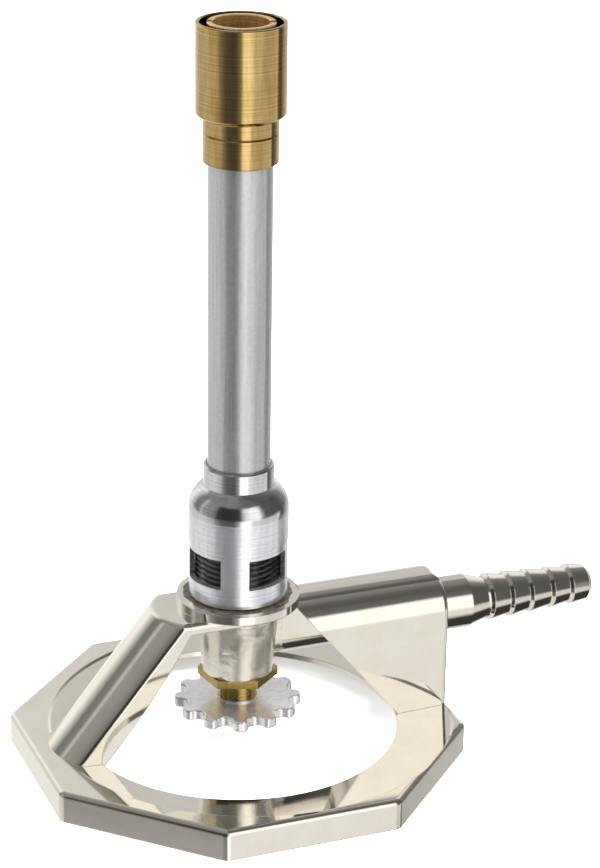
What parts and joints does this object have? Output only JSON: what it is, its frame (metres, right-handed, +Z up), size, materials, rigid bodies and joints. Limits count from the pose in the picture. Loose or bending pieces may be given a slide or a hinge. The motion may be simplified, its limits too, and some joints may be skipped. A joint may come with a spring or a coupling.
{
  "type": "bunsen burner",
  "caption": "Laboratory gas burner: octagonal nickel-plated base with a bridge and hose barb, screw-down air collar, straight mixing tube, brass flame stabiliser and needle valve.",
  "frame": {"origin": "on the burner's upright axis, at the level of the bench that the base stands on", "axes": "+Z up along the burner tube, +X along the arm toward the hose barb, -Y toward the front of the base"},
  "size_m": [0.123, 0.0872, 0.1527],
  "materials": {
    "nickel_plate": "bright nickel plate on a zinc die casting, slightly warm, with a faint orange-peel from the casting",
    "turned_aluminium": "bright turned aluminium with fine circumferential tool lines",
    "tube_aluminium": "drawn aluminium tube as delivered, satin and slightly mottled",
    "knob_aluminium": "die-cast satin knob, matt face and bright scalloped edge",
    "spud_metal": "dark grey machined thread, lightly oiled",
    "brass": "bare turned brass with fine tool lines",
    "gasket_fibre": "red-brown fibre sealing ring",
    "packing_rubber": "black rubber gland packing"
  },
  "bodies": {
    "root": {"base_casting": "nickel_plate", "hose_barb": "nickel_plate", "spud_gasket": "gasket_fibre", "threaded_spud": "spud_metal", "gas_jet": "brass", "packing_nut": "brass", "gland_washer": "brass", "stem_packing": "packing_rubber"},
    "barrel_rise": {"mixing_tube": "tube_aluminium"},
    "barrel_turn": {"air_collar": "turned_aluminium", "stabiliser_sleeve": "brass", "flame_ring": "brass"},
    "needle_travel": {"needle_stem": "brass"},
    "knob_turn": {"valve_knob": "knob_aluminium"}
  },
  "joints": [
    {"name": "barrel_rise", "type": "slide", "parent": "root", "child": "barrel_rise", "axis": [0, 0, 1], "range_m": [0, 0.00635]},
    {"name": "air_adjust", "type": "hinge", "parent": "barrel_rise", "child": "barrel_turn", "pos_m": [0, 0, 0.045], "axis": [0, 0, 1], "range_deg": [0, 1985]},
    {"name": "needle_travel", "type": "slide", "parent": "root", "child": "needle_travel", "axis": [0, 0, -1], "range_m": [0, 0.00318]},
    {"name": "gas_adjust", "type": "hinge", "parent": "needle_travel", "child": "knob_turn", "pos_m": [0, 0, 0.0108], "axis": [0, 0, -1], "range_deg": [0, 1085]}
  ],
  "couplings": [
    {"joint": "air_adjust", "follows": "barrel_rise", "rad_per_m": 5440},
    {"joint": "gas_adjust", "follows": "needle_travel", "rad_per_m": 5927.5}
  ]
}
